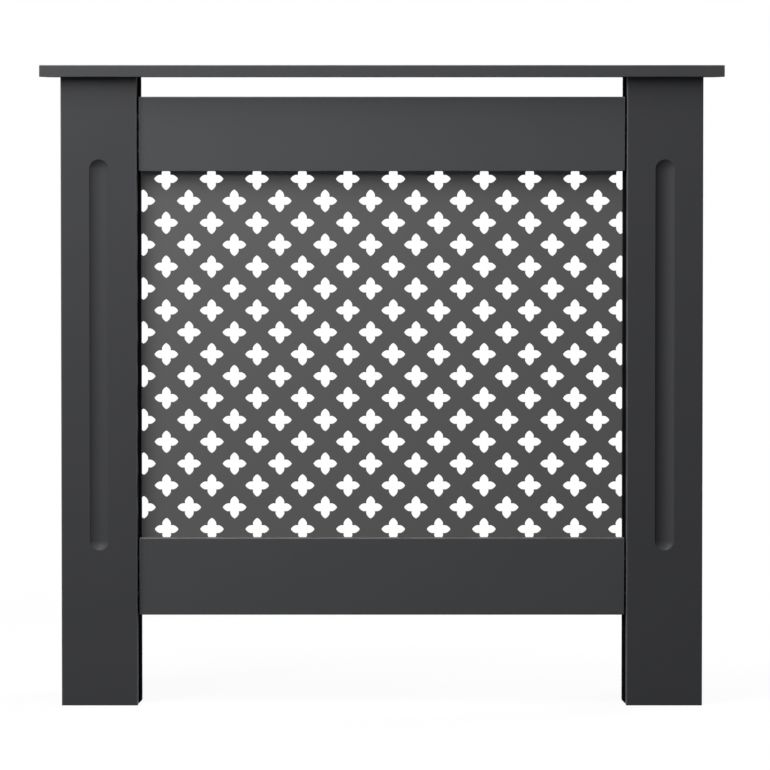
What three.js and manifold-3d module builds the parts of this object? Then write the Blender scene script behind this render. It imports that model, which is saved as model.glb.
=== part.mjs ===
// Radiator cover cabinet: a painted board cabinet that stands over a wall radiator.
// Two L-shaped legs (a fluted front post glued to a side panel, with a batten in the corner) carry a shelf.
// Two rails run between the posts, and a sheet pierced with crosses is screwed to the back of this frame.
// Millimetres, +Z up. The front faces -Y, the wall is at +Y, and the origin is on the floor under the middle.

import * as THREE from "three";
import { mergeVertices } from "three/addons/utils/BufferGeometryUtils.js";
import Module from "manifold-3d";

const wasm = await Module();
wasm.setup();

// ---- Driving sizes ----

const CABINET_HEIGHT = 732.5;
const CABINET_DEPTH = 190; // wall to the front edge of the shelf
const BODY_WIDTH = 733; // over the outer edges of the two posts

const SHELF_WIDTH = 780;
const SHELF_NOSE = 12; // how far the shelf stands out in front of the posts
const SHELF_THICKNESS = 13.5;
const SHELF_EDGE_RADIUS = 1.5;

const POST_WIDTH = 87;
const POST_THICKNESS = 18;
const POST_EDGE_RADIUS = 1.5;
const FLUTE_WIDTH = 22;
const FLUTE_DEPTH = 5;
const FLUTE_ABOVE_FLOOR = 178;
const FLUTE_BELOW_SHELF = 94;

const SIDE_THICKNESS = 12;
const SKIRTING_DEPTH = 15; // notch that clears the skirting board
const SKIRTING_HEIGHT = 100;
const BATTEN_SECTION = 18;
const BATTEN_END_GAP = 12;
const INNER_BATTEN_WIDTH = 18;
const INNER_BATTEN_THICKNESS = 12;
const INNER_BATTEN_REVEAL = 4; // how far it shows past the inner edge of its post
const INNER_BATTEN_CHAMFER = 4; // off its inner corner at the floor

const RAIL_THICKNESS = 12;
const UPPER_RAIL_HEIGHT = 85;
const LOWER_RAIL_HEIGHT = 88.5;
const AIR_SLOT = 22.5; // between the upper rail and the shelf
const FLOOR_GAP = 103.5; // under the lower rail
const RAIL_END_GAP = 1; // painted shadow line between a rail and a post

const GRILLE_THICKNESS = 3;
const GRILLE_LAP = 20; // how far the sheet laps over the rails
const GRILLE_SIDE_GAP = 0.4; // between the sheet and the inner battens
const CROSS_PITCH_X = 52;
const CROSS_PITCH_Z = 50.2; // the rows half-way between are shifted by half a pitch
const CROSS_OFFSET = 13; // from the middle of the sheet to the first cross of its middle row
const CROSS_WIDTH = 26;
const CROSS_HEIGHT = 24.6;
const CROSS_NOTCH = 5.6; // from the centre lines to the inner corners
const CROSS_TIP = 2.2; // half the width of an arm at its blunt end

const FIT = 0.3; // clearance round everything that sits in a hole
const SHARE_IN_EACH = 0.5; // a rail dowel lies half in the rail and half in the post

const DOWEL_RADIUS = 3;
const RAIL_DOWEL_LENGTH = 30;
const RAIL_DOWEL_SPACING = 40;
const SHELF_DOWEL_LENGTH = 20;
const SHELF_SOCKET_DEPTH = 9; // how far dowels and bolts enter the shelf

const CAM_RADIUS = 6;
const CAM_DEPTH = 9.5;
const CAM_SETBACK = 24; // from the joint to the middle of the cam
const CAM_RECESS = 1.4; // depth and width of the driver slot

const BOLT_THREAD_RADIUS = 2.5;
const BOLT_THREAD_LENGTH = 8.5;
const BOLT_SHANK_RADIUS = 3;
const BOLT_NECK_RADIUS = 2;
const BOLT_NECK_LENGTH = 7;
const BOLT_HEAD_RADIUS = 3.2;
const BOLT_HEAD_LENGTH = 2.5;

const SCREW_SHANK_RADIUS = 1.5;
const SCREW_TIP_LENGTH = 2.5;
const SCREW_HEAD_RADIUS = 3;
const SCREW_HEAD_HEIGHT = 2;
const SCREW_BITE = 8; // length of screw in the board
const GRILLE_SCREW_EDGE = 6; // from the edge of the sheet to its screws

const BRACKET_LEG = 40;
const BRACKET_WIDTH = 20;
const BRACKET_THICKNESS = 2;
const BRACKET_BELOW_SHELF = 55; // shelf to the middle of a wall bracket
const BRACKET_SCREW_INSET = 10; // from a leg's end, and from the corner
const WALL_SCREW_RADIUS = 2.5;

const BACK_CAM_FROM_WALL = 30;
const FRONT_CAM_FROM_BATTEN = 24;

const ROUND_SIDES = 8; // dowels, bolts, screws and their holes
const CAM_SIDES = 12;
const SCREW_HOLE_SIDES = 6; // in the pierced sheet
const ARC_STEPS = 3; // eased edges
const FLUTE_SIDES = 28;
const FLUTE_CAP_STEPS = 5;

// ---- Places that follow from the sizes ----

const legHeight = CABINET_HEIGHT - SHELF_THICKNESS;
const halfBody = BODY_WIDTH / 2;
const innerEdge = halfBody - POST_WIDTH; // of a post, from the middle of the cabinet
const battenEdge = innerEdge - INNER_BATTEN_REVEAL; // inner face of an inner batten
const sideInner = halfBody - SIDE_THICKNESS; // inner face of a side panel
const sideMiddle = halfBody - SIDE_THICKNESS / 2;

const wallPlane = CABINET_DEPTH / 2;
const shelfFront = -CABINET_DEPTH / 2;
const postFront = shelfFront + SHELF_NOSE;
const postBack = postFront + POST_THICKNESS; // the rails and the sheet meet here too
const railMiddle = postBack - RAIL_THICKNESS / 2;

const upperRail = { low: legHeight - AIR_SLOT - UPPER_RAIL_HEIGHT, high: legHeight - AIR_SLOT };
const lowerRail = { low: FLOOR_GAP, high: FLOOR_GAP + LOWER_RAIL_HEIGHT };
const grilleMiddle = (lowerRail.high + upperRail.low) / 2;
const grilleHalfWidth = battenEdge - GRILLE_SIDE_GAP;
const grilleHalfHeight = (upperRail.low - lowerRail.high) / 2 + GRILLE_LAP;

const SIDES = [
  { name: "left", sign: -1 },
  { name: "right", sign: 1 },
];
const RAILS = [
  { name: "upper_rail", ...upperRail },
  { name: "lower_rail", ...lowerRail },
];

// ---- Materials ----

const finish = (color, roughness, metalness = 0) =>
  new THREE.MeshStandardMaterial({ color, roughness, metalness });
const PAINTED_BOARD = finish(0x47484a, 0.6);
const BLACK_BOARD = finish(0x121213, 0.7);
const PIERCED_SHEET = finish(0x59595a, 0.55);
const BEECH = finish(0xc9a26d, 0.7);
const ZINC = finish(0xb4b6b8, 0.4, 1);
const BLACK_STEEL = finish(0x1c1c1d, 0.5, 1);

// ---- Solids ----

function toSolid(geometry) {
  const bare = geometry.clone();
  bare.deleteAttribute("normal");
  bare.deleteAttribute("uv");
  const merged = mergeVertices(bare);
  const mesh = new wasm.Mesh({
    numProp: 3,
    vertProperties: merged.attributes.position.array,
    triVerts: new Uint32Array(merged.index.array),
  });
  return new wasm.Manifold(mesh);
}

function toGeometry(solid) {
  const mesh = solid.getMesh();
  const geometry = new THREE.BufferGeometry();
  geometry.setAttribute("position", new THREE.BufferAttribute(mesh.vertProperties, 3));
  geometry.setIndex(new THREE.BufferAttribute(mesh.triVerts, 1));
  const faceted = geometry.toNonIndexed();
  faceted.computeVertexNormals();
  return faceted;
}

function cut(geometry, cutters) {
  let solid = toSolid(geometry);
  for (const cutter of cutters) solid = solid.subtract(toSolid(cutter));
  return toGeometry(solid);
}

// A block between two corners.
function block([x0, y0, z0], [x1, y1, z1]) {
  const geometry = new THREE.BoxGeometry(x1 - x0, y1 - y0, z1 - z0);
  return geometry.translate((x0 + x1) / 2, (y0 + y1) / 2, (z0 + z1) / 2);
}

// A round bar along X.
function bar(radius, from, to, sides = ROUND_SIDES) {
  const geometry = new THREE.CylinderGeometry(radius, radius, to - from, sides);
  return geometry.rotateZ(-Math.PI / 2).translate((from + to) / 2, 0, 0);
}

// A turned piece about X, from [x, radius] pairs that start and end on the axis.
function turned(profile, sides = ROUND_SIDES) {
  const points = profile.map(([x, radius]) => new THREE.Vector2(radius, x));
  return new THREE.LatheGeometry(points, sides).rotateZ(-Math.PI / 2);
}

const X = new THREE.Vector3(1, 0, 0);
const Y = new THREE.Vector3(0, 1, 0);
const Z = new THREE.Vector3(0, 0, 1);

// Stands a piece on a point: its local X runs along one direction, and its local Z along another.
function stand(point, alongX, alongZ) {
  const alongY = new THREE.Vector3().crossVectors(alongZ, alongX);
  return new THREE.Matrix4().makeBasis(alongX, alongY, alongZ).setPosition(...point);
}

// Adds a mesh whose geometry is drawn in the cabinet's frame, with its origin moved to its own middle.
function addBoard(group, name, geometry, material) {
  geometry.computeBoundingBox();
  const middle = geometry.boundingBox.getCenter(new THREE.Vector3());
  const mesh = new THREE.Mesh(geometry.translate(-middle.x, -middle.y, -middle.z), material);
  mesh.position.copy(middle);
  mesh.name = name;
  group.add(mesh);
}

// Adds a mesh whose geometry is drawn about its own axis.
function addFitting(group, name, geometry, material, placement) {
  const mesh = new THREE.Mesh(geometry, material);
  mesh.applyMatrix4(placement);
  mesh.name = name;
  group.add(mesh);
}

// ---- Where the fittings go ----

// Each cam joint: the bolt starts at the joint and runs into the board that holds the cam.
const railJoints = RAILS.flatMap((rail) =>
  SIDES.map((side) => ({
    name: `${rail.name}_${side.name}`,
    rail: rail.name,
    side,
    height: (rail.low + rail.high) / 2,
    placement: stand(
      [side.sign * innerEdge, railMiddle, (rail.low + rail.high) / 2],
      X.clone().multiplyScalar(-side.sign),
      Y,
    ),
  })),
);

const shelfCams = {
  front: postBack + BATTEN_SECTION + FRONT_CAM_FROM_BATTEN,
  back: wallPlane - BACK_CAM_FROM_WALL,
};
const shelfJoints = SIDES.flatMap((side) =>
  Object.entries(shelfCams).map(([end, y]) => ({
    name: `shelf_${side.name}_${end}`,
    side,
    placement: stand(
      [side.sign * sideMiddle, y, legHeight],
      Z.clone().negate(),
      X.clone().multiplyScalar(-side.sign),
    ),
  })),
);

// Dowels: local X starts at the joint and runs into the rail, or down into the leg.
const railDowels = railJoints.flatMap((joint) =>
  [1, -1].map((step) => ({
    name: `dowel_${joint.name}_${step > 0 ? "top" : "bottom"}`,
    rail: joint.rail,
    side: joint.side,
    placement: stand(
      [joint.side.sign * innerEdge, railMiddle, joint.height + (step * RAIL_DOWEL_SPACING) / 2],
      X.clone().multiplyScalar(-joint.side.sign),
      Y,
    ),
  })),
);

const shelfDowelSeats = {
  post: { x: halfBody - POST_WIDTH / 2, y: postFront + POST_THICKNESS / 2 },
  side: { x: sideMiddle, y: (shelfCams.front + shelfCams.back) / 2 },
};
const shelfDowels = SIDES.flatMap((side) =>
  Object.entries(shelfDowelSeats).map(([board, seat]) => ({
    name: `dowel_shelf_${side.name}_${board}`,
    board,
    side,
    placement: stand([side.sign * seat.x, seat.y, legHeight], Z.clone().negate(), X),
  })),
);

// Grille screws stand on the back of the sheet and point to the front.
const screwX = grilleHalfWidth - GRILLE_SCREW_EDGE;
const screwZ = grilleHalfHeight - GRILLE_SCREW_EDGE;
const grilleScrews = [-1, 1].flatMap((across) => [
  { name: "top_corner", board: "upper_rail", x: across * screwX, z: grilleMiddle + screwZ },
  { name: "bottom_corner", board: "lower_rail", x: across * screwX, z: grilleMiddle - screwZ },
  { name: "top", board: "upper_rail", x: (across * screwX) / 3, z: grilleMiddle + screwZ },
  { name: "bottom", board: "lower_rail", x: (across * screwX) / 3, z: grilleMiddle - screwZ },
]).map((screw) => ({
  ...screw,
  name: `grille_screw_${screw.x < 0 ? "left" : "right"}_${screw.name}`,
  placement: stand([screw.x, postBack + GRILLE_THICKNESS, screw.z], Y.clone().negate(), Z),
}));

// Bracket screws stand on the bracket's side leg and point out into the side panel.
const bracketHeight = legHeight - BRACKET_BELOW_SHELF;
const bracketScrews = SIDES.flatMap((side) =>
  [BRACKET_LEG - BRACKET_SCREW_INSET, BRACKET_SCREW_INSET].map((fromWall, index) => ({
    name: `bracket_screw_${side.name}_${index + 1}`,
    side,
    placement: stand(
      [side.sign * (sideInner - BRACKET_THICKNESS), wallPlane - fromWall, bracketHeight],
      X.clone().multiplyScalar(side.sign),
      Z,
    ),
  })),
);

// ---- Cutters, drawn about the same local axes as the fittings ----

const OVERCUT = 1; // how far a cutter starts outside the face it enters

const dowelHole = (depth) => bar(DOWEL_RADIUS + FIT, -OVERCUT, depth + FIT);
const dowelHoleBefore = (depth) => bar(DOWEL_RADIUS + FIT, -depth - FIT, OVERCUT);
const threadHole = () => bar(BOLT_THREAD_RADIUS + FIT, -BOLT_THREAD_LENGTH - FIT, OVERCUT);
const screwHole = (through) => bar(SCREW_SHANK_RADIUS + FIT, -OVERCUT, through + SCREW_BITE + FIT);

// The bore for the bolt and the pocket for the cam, in a board of the given thickness.
function camPocket(thickness) {
  const bore = bar(BOLT_SHANK_RADIUS + FIT, -OVERCUT, CAM_SETBACK);
  const depth = CAM_DEPTH + FIT;
  const pocket = new THREE.CylinderGeometry(CAM_RADIUS + FIT, CAM_RADIUS + FIT, depth + OVERCUT, CAM_SIDES);
  pocket.rotateX(Math.PI / 2);
  pocket.translate(CAM_SETBACK, 0, thickness / 2 - depth + (depth + OVERCUT) / 2);
  return [bore, pocket];
}

const at = (placement, geometries) => geometries.map((geometry) => geometry.applyMatrix4(placement));

// ---- Boards ----

// A groove with round ends in the front face of a post. Its walls are steep at the face and run into a
// nearly flat bottom, as a bowl-shaped router bit leaves them: a capsule pressed to the flute's depth.
function fluteCutter(side) {
  const half = FLUTE_WIDTH / 2;
  const low = FLUTE_ABOVE_FLOOR + half;
  const high = legHeight - FLUTE_BELOW_SHELF - half;
  const cutter = new THREE.CapsuleGeometry(half, high - low, FLUTE_CAP_STEPS, FLUTE_SIDES);
  cutter.rotateX(Math.PI / 2);
  cutter.scale(1, FLUTE_DEPTH / half, 1);
  return cutter.translate(side.sign * (halfBody - POST_WIDTH / 2), postFront, (low + high) / 2);
}

// The post's plan has its two front edges eased.
function postBlank(side) {
  const plan = new THREE.Shape();
  const r = POST_EDGE_RADIUS;
  plan.moveTo(-POST_WIDTH / 2, POST_THICKNESS);
  plan.lineTo(-POST_WIDTH / 2, r);
  plan.absarc(-POST_WIDTH / 2 + r, r, r, Math.PI, 1.5 * Math.PI);
  plan.absarc(POST_WIDTH / 2 - r, r, r, 1.5 * Math.PI, 2 * Math.PI);
  plan.lineTo(POST_WIDTH / 2, POST_THICKNESS);
  const blank = new THREE.ExtrudeGeometry(plan, {
    depth: legHeight,
    bevelEnabled: false,
    curveSegments: ARC_STEPS,
  });
  return blank.translate(side.sign * (halfBody - POST_WIDTH / 2), postFront, 0);
}

function post(side) {
  const mine = (fitting) => fitting.side === side;
  return cut(postBlank(side), [
    fluteCutter(side),
    ...railJoints.filter(mine).flatMap((j) => at(j.placement, [threadHole()])),
    ...railDowels
      .filter(mine)
      .flatMap((d) => at(d.placement, [dowelHoleBefore(RAIL_DOWEL_LENGTH * SHARE_IN_EACH)])),
    ...shelfDowels
      .filter((d) => mine(d) && d.board === "post")
      .flatMap((d) => at(d.placement, [dowelHole(SHELF_DOWEL_LENGTH - SHELF_SOCKET_DEPTH)])),
  ]);
}

// The side panel's outline, seen from the side, has the skirting notch at the bottom of its back edge.
function sidePanel(side) {
  const outline = new THREE.Shape();
  outline.moveTo(postBack, 0);
  outline.lineTo(wallPlane - SKIRTING_DEPTH, 0);
  outline.lineTo(wallPlane - SKIRTING_DEPTH, SKIRTING_HEIGHT);
  outline.lineTo(wallPlane, SKIRTING_HEIGHT);
  outline.lineTo(wallPlane, legHeight);
  outline.lineTo(postBack, legHeight);
  const blank = new THREE.ExtrudeGeometry(outline, { depth: SIDE_THICKNESS, bevelEnabled: false });
  // Shape x and y become the cabinet's Y and Z, and the thickness runs along X.
  blank.applyMatrix4(new THREE.Matrix4().makeBasis(Y, Z, X));
  blank.translate(side.sign > 0 ? sideInner : -halfBody, 0, 0);
  return cut(blank, [
    ...shelfJoints.filter((j) => j.side === side).flatMap((j) => at(j.placement, camPocket(SIDE_THICKNESS))),
    ...shelfDowels
      .filter((d) => d.side === side && d.board === "side")
      .flatMap((d) => at(d.placement, [dowelHole(SHELF_DOWEL_LENGTH - SHELF_SOCKET_DEPTH)])),
    ...bracketScrews
      .filter((s) => s.side === side)
      .flatMap((s) => at(s.placement, [screwHole(BRACKET_THICKNESS)])),
  ]);
}

function cornerBatten(side) {
  const from = side.sign * (sideInner - BATTEN_SECTION);
  const to = side.sign * sideInner;
  return block(
    [Math.min(from, to), postBack, BATTEN_END_GAP],
    [Math.max(from, to), postBack + BATTEN_SECTION, legHeight - BATTEN_END_GAP],
  );
}

// A full-height batten behind the post's inner edge. The rails' ends rest on it, and the sheet fits between
// the two of them. Drawn seen from the front and pulled back by its thickness.
function innerBatten(side) {
  const face = side.sign * battenEdge;
  const outline = new THREE.Shape();
  outline.moveTo(face + side.sign * INNER_BATTEN_CHAMFER, 0);
  outline.lineTo(face + side.sign * INNER_BATTEN_WIDTH, 0);
  outline.lineTo(face + side.sign * INNER_BATTEN_WIDTH, legHeight);
  outline.lineTo(face, legHeight);
  outline.lineTo(face, INNER_BATTEN_CHAMFER);
  const batten = new THREE.ExtrudeGeometry(outline, {
    depth: INNER_BATTEN_THICKNESS,
    bevelEnabled: false,
  });
  batten.rotateX(Math.PI / 2);
  return batten.translate(0, postBack + INNER_BATTEN_THICKNESS, 0);
}

function rail({ name, low, high }) {
  const halfLength = innerEdge - RAIL_END_GAP;
  const blank = block([-halfLength, postBack - RAIL_THICKNESS, low], [halfLength, postBack, high]);
  return cut(blank, [
    ...railJoints.filter((j) => j.rail === name).flatMap((j) => at(j.placement, camPocket(RAIL_THICKNESS))),
    ...railDowels
      .filter((d) => d.rail === name)
      .flatMap((d) => at(d.placement, [dowelHole(RAIL_DOWEL_LENGTH * SHARE_IN_EACH)])),
    ...grilleScrews
      .filter((s) => s.board === name)
      .flatMap((s) => at(s.placement, [screwHole(GRILLE_THICKNESS)])),
  ]);
}

// The shelf is rounded over at the front and both ends, and sawn square where it meets the wall.
function shelf() {
  const r = SHELF_EDGE_RADIUS;
  const halfLength = SHELF_WIDTH / 2;
  const plan = new THREE.Shape();
  plan.moveTo(-halfLength, shelfFront);
  plan.lineTo(halfLength, shelfFront);
  plan.lineTo(halfLength, wallPlane + 2 * r);
  plan.lineTo(-halfLength, wallPlane + 2 * r);
  const rounded = new THREE.ExtrudeGeometry(plan, {
    depth: SHELF_THICKNESS - 2 * r,
    bevelThickness: r,
    bevelSize: r,
    bevelOffset: -r,
    bevelSegments: ARC_STEPS,
  });
  rounded.translate(0, 0, legHeight + r);
  const reach = halfLength + OVERCUT;
  const behindWall = block(
    [-reach, wallPlane, legHeight - OVERCUT],
    [reach, wallPlane + 3 * r + OVERCUT, CABINET_HEIGHT + OVERCUT],
  );
  return cut(rounded, [
    behindWall,
    ...shelfJoints.flatMap((j) => at(j.placement, [threadHole()])),
    ...shelfDowels.flatMap((d) => at(d.placement, [dowelHoleBefore(SHELF_SOCKET_DEPTH)])),
  ]);
}

// ---- The pierced sheet ----

// One cross: four arms that narrow to blunt ends and meet at inner corners.
function crossHole(x, z) {
  const points = [CROSS_WIDTH, CROSS_HEIGHT, CROSS_WIDTH, CROSS_HEIGHT].flatMap((size, quarter) => {
    const arm = [
      [size / 2, -CROSS_TIP],
      [size / 2, CROSS_TIP],
      [CROSS_NOTCH, CROSS_NOTCH],
    ];
    const centre = new THREE.Vector2();
    const turn = (quarter * Math.PI) / 2;
    return arm.map(([u, v]) => new THREE.Vector2(u, v).rotateAround(centre, turn));
  });
  return new THREE.Path(points.map((point) => new THREE.Vector2(x + point.x, z + point.y)));
}

// Every cross that shows inside the frame, in the rows that stay clear of the screws' heads.
function crossPlaces() {
  const openWidth = grilleHalfWidth + CROSS_WIDTH / 2;
  const openHeight = grilleHalfHeight - GRILLE_LAP + CROSS_HEIGHT / 2;
  const clearHeight = screwZ - SCREW_HEAD_RADIUS - CROSS_HEIGHT / 2;
  const rowLimit = Math.min(openHeight, clearHeight);
  const rows = Math.ceil((rowLimit * 2) / CROSS_PITCH_Z);
  const columns = Math.ceil(openWidth / CROSS_PITCH_X) + 1;
  const places = [];
  for (let row = -rows; row <= rows; row += 1) {
    const z = (row * CROSS_PITCH_Z) / 2;
    const shift = row % 2 === 0 ? 0 : CROSS_PITCH_X / 2;
    for (let column = -columns; column <= columns; column += 1) {
      const x = CROSS_OFFSET + shift + column * CROSS_PITCH_X;
      if (Math.abs(x) < openWidth && Math.abs(z) < rowLimit) places.push([x, z]);
    }
  }
  return places;
}

// The sheet is cut from a wider pierced one, so its two side edges run through crosses.
function grilleSheet() {
  const stockHalfWidth = grilleHalfWidth + CROSS_WIDTH;
  const outline = new THREE.Shape();
  outline.moveTo(-stockHalfWidth, -grilleHalfHeight);
  outline.lineTo(stockHalfWidth, -grilleHalfHeight);
  outline.lineTo(stockHalfWidth, grilleHalfHeight);
  outline.lineTo(-stockHalfWidth, grilleHalfHeight);
  for (const [x, z] of crossPlaces()) outline.holes.push(crossHole(x, z));
  for (const screw of grilleScrews) {
    const hole = new THREE.Path();
    hole.absarc(screw.x, screw.z - grilleMiddle, SCREW_SHANK_RADIUS + FIT, 0, 2 * Math.PI);
    outline.holes.push(hole);
  }
  const sheet = new THREE.ExtrudeGeometry(outline, {
    depth: GRILLE_THICKNESS,
    bevelEnabled: false,
    curveSegments: SCREW_HOLE_SIDES / 2,
  });
  // The sheet is drawn lying down and stood up with its thickness along Y.
  sheet.rotateX(Math.PI / 2);
  const sawnOff = block(
    [grilleHalfWidth, -OVERCUT, -grilleHalfHeight - OVERCUT],
    [stockHalfWidth + OVERCUT, GRILLE_THICKNESS + OVERCUT, grilleHalfHeight + OVERCUT],
  );
  const sawnOffLeft = sawnOff.clone().rotateZ(Math.PI);
  sawnOffLeft.translate(0, GRILLE_THICKNESS, 0);
  sheet.translate(0, GRILLE_THICKNESS, 0);
  return cut(sheet, [sawnOff, sawnOffLeft]).translate(0, postBack, grilleMiddle);
}

// ---- Fittings ----

const dowel = (length, before) => bar(DOWEL_RADIUS, -before, length - before);

function camBolt() {
  const end = CAM_SETBACK;
  const headStart = end - BOLT_HEAD_LENGTH;
  const neckStart = headStart - BOLT_NECK_LENGTH;
  return turned([
    [-BOLT_THREAD_LENGTH, 0],
    [-BOLT_THREAD_LENGTH, BOLT_THREAD_RADIUS],
    [0, BOLT_THREAD_RADIUS],
    [0, BOLT_SHANK_RADIUS],
    [neckStart, BOLT_SHANK_RADIUS],
    [neckStart, BOLT_NECK_RADIUS],
    [headStart, BOLT_NECK_RADIUS],
    [headStart, BOLT_HEAD_RADIUS],
    [end, BOLT_HEAD_RADIUS],
    [end, 0],
  ]);
}

// The drum has a T-slot open at its blind end, which takes the bolt's head, and a driver slot in its face.
function camLock(thickness) {
  const face = thickness / 2;
  const drum = new THREE.CylinderGeometry(CAM_RADIUS, CAM_RADIUS, CAM_DEPTH, CAM_SIDES);
  drum.rotateX(Math.PI / 2).translate(CAM_SETBACK, 0, face - CAM_DEPTH / 2);
  const blindEnd = face - CAM_DEPTH - OVERCUT;
  const headRoom = BOLT_HEAD_RADIUS + FIT;
  const neckRoom = BOLT_NECK_RADIUS + FIT;
  const headSlot = block(
    [CAM_SETBACK - BOLT_HEAD_LENGTH - FIT, -headRoom, blindEnd],
    [CAM_SETBACK + FIT, headRoom, headRoom],
  );
  const neckSlot = block(
    [CAM_SETBACK - CAM_RADIUS - OVERCUT, -neckRoom, blindEnd],
    [CAM_SETBACK, neckRoom, neckRoom],
  );
  const halfSlot = CAM_RECESS / 2;
  const driverSlot = block(
    [CAM_SETBACK - CAM_RADIUS * 0.7, -halfSlot, face - CAM_RECESS],
    [CAM_SETBACK + CAM_RADIUS * 0.7, halfSlot, face + OVERCUT],
  );
  return cut(drum, [headSlot, neckSlot, driverSlot]);
}

// A pan-head screw that clamps a sheet of the given thickness.
function screw(through) {
  const point = through + SCREW_BITE;
  return turned([
    [-SCREW_HEAD_HEIGHT, 0],
    [-SCREW_HEAD_HEIGHT, SCREW_HEAD_RADIUS * 0.6],
    [-SCREW_HEAD_HEIGHT * 0.4, SCREW_HEAD_RADIUS],
    [0, SCREW_HEAD_RADIUS],
    [0, SCREW_SHANK_RADIUS],
    [point - SCREW_TIP_LENGTH, SCREW_SHANK_RADIUS],
    [point, 0],
  ]);
}

// A bent steel strip: one leg on the side panel, the other flat to the wall.
function wallBracket(side) {
  const outline = [
    [0, 0],
    [BRACKET_LEG, 0],
    [BRACKET_LEG, BRACKET_THICKNESS],
    [BRACKET_THICKNESS, BRACKET_THICKNESS],
    [BRACKET_THICKNESS, BRACKET_LEG],
    [0, BRACKET_LEG],
  ];
  const corner = ([across, deep]) =>
    new THREE.Vector2(side.sign * (sideInner - across), wallPlane - deep);
  const strip = new THREE.ExtrudeGeometry(new THREE.Shape(outline.map(corner)), {
    depth: BRACKET_WIDTH,
    bevelEnabled: false,
  });
  strip.translate(0, 0, bracketHeight - BRACKET_WIDTH / 2);
  const wallHole = bar(WALL_SCREW_RADIUS, -OVERCUT, BRACKET_THICKNESS + OVERCUT);
  const wallHolePlace = stand(
    [side.sign * (sideInner - BRACKET_LEG + BRACKET_SCREW_INSET), wallPlane, bracketHeight],
    Y.clone().negate(),
    Z,
  );
  return cut(strip, [
    ...at(wallHolePlace, [wallHole]),
    ...bracketScrews
      .filter((s) => s.side === side)
      .flatMap((s) => at(s.placement, [screwHole(BRACKET_THICKNESS)])),
  ]);
}

// ---- Assembly ----

const cabinet = new THREE.Group();

for (const side of SIDES) {
  const leg = new THREE.Group();
  addBoard(leg, `${side.name}_front_post`, post(side), PAINTED_BOARD);
  addBoard(leg, `${side.name}_side_panel`, sidePanel(side), PAINTED_BOARD);
  addBoard(leg, `${side.name}_corner_batten`, cornerBatten(side), PAINTED_BOARD);
  addBoard(leg, `${side.name}_inner_batten`, innerBatten(side), BLACK_BOARD);
  addBoard(leg, `${side.name}_wall_bracket`, wallBracket(side), ZINC);
  cabinet.add(leg);
}

const front = new THREE.Group();
for (const each of RAILS) addBoard(front, each.name, rail(each), PAINTED_BOARD);
addBoard(front, "grille_panel", grilleSheet(), PIERCED_SHEET);
cabinet.add(front);

addBoard(cabinet, "top_shelf", shelf(), PAINTED_BOARD);

const fittings = new THREE.Group();
for (const joint of railJoints) {
  addFitting(fittings, `cam_bolt_${joint.name}`, camBolt(), BLACK_STEEL, joint.placement);
  addFitting(fittings, `cam_lock_${joint.name}`, camLock(RAIL_THICKNESS), ZINC, joint.placement);
}
for (const joint of shelfJoints) {
  addFitting(fittings, `cam_bolt_${joint.name}`, camBolt(), BLACK_STEEL, joint.placement);
  addFitting(fittings, `cam_lock_${joint.name}`, camLock(SIDE_THICKNESS), ZINC, joint.placement);
}
for (const each of railDowels) {
  const half = RAIL_DOWEL_LENGTH * SHARE_IN_EACH;
  addFitting(fittings, each.name, dowel(RAIL_DOWEL_LENGTH, half), BEECH, each.placement);
}
for (const each of shelfDowels) {
  addFitting(fittings, each.name, dowel(SHELF_DOWEL_LENGTH, SHELF_SOCKET_DEPTH), BEECH, each.placement);
}
for (const each of grilleScrews) {
  addFitting(fittings, each.name, screw(GRILLE_THICKNESS), ZINC, each.placement);
}
for (const each of bracketScrews) {
  addFitting(fittings, each.name, screw(BRACKET_THICKNESS), ZINC, each.placement);
}
cabinet.add(fittings);

export default cabinet;
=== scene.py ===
import math

import bmesh
import bpy
from bpy.props import FloatProperty, FloatVectorProperty, IntProperty, PointerProperty
from mathutils import Euler, Matrix, Vector


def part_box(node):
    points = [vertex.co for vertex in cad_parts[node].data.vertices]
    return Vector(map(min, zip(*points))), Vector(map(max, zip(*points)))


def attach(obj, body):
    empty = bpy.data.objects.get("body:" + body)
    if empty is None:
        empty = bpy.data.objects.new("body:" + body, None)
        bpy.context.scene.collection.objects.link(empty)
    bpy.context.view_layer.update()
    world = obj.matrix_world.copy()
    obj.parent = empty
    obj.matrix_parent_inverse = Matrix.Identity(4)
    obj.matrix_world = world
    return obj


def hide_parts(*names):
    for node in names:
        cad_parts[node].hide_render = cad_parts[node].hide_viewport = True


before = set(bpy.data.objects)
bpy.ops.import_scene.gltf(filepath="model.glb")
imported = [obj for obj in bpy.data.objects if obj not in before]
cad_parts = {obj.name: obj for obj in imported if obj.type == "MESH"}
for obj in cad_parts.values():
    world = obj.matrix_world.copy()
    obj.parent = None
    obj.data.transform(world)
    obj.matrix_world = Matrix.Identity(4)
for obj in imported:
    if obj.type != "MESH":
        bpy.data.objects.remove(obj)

bl_info = {
    "name": "Radiator cover cabinet",
    "version": (1, 0, 0),
    "blender": (4, 5, 0),
    "location": "View3D > Sidebar > Radiator cover",
    "description": "Dresses a radiator cover's frame with eased boards, a fine grille, fittings and paint",
    "category": "Object",
}

BODY = "root"
MM = 0.001
TOUCHING = 0.01 * MM  # nearer than this, two places are the same
OVER = 1 * MM  # how far a cutter starts outside the face it enters
SQUARE_ON = 0.9999  # a face whose normal has more than this along one axis is shaded flat
THIN_PAINT_AND_HIGHLIGHT_GAIN = 2.2  # how many times lighter the paint is on its arrises, where it runs thin and where it carries a painted highlight
UP = Vector((0, 0, 1))
TO_WALL = Vector((0, 1, 0))
TO_FRONT = Vector((0, -1, 0))
SIDES = {"left": -1, "right": 1}
RAILS = ("upper_rail", "lower_rail")

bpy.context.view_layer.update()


# ---- Places that follow from the frame ----


def middle(node):
    low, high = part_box(node)
    return (low + high) / 2


def size(node):
    low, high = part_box(node)
    return high - low


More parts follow.
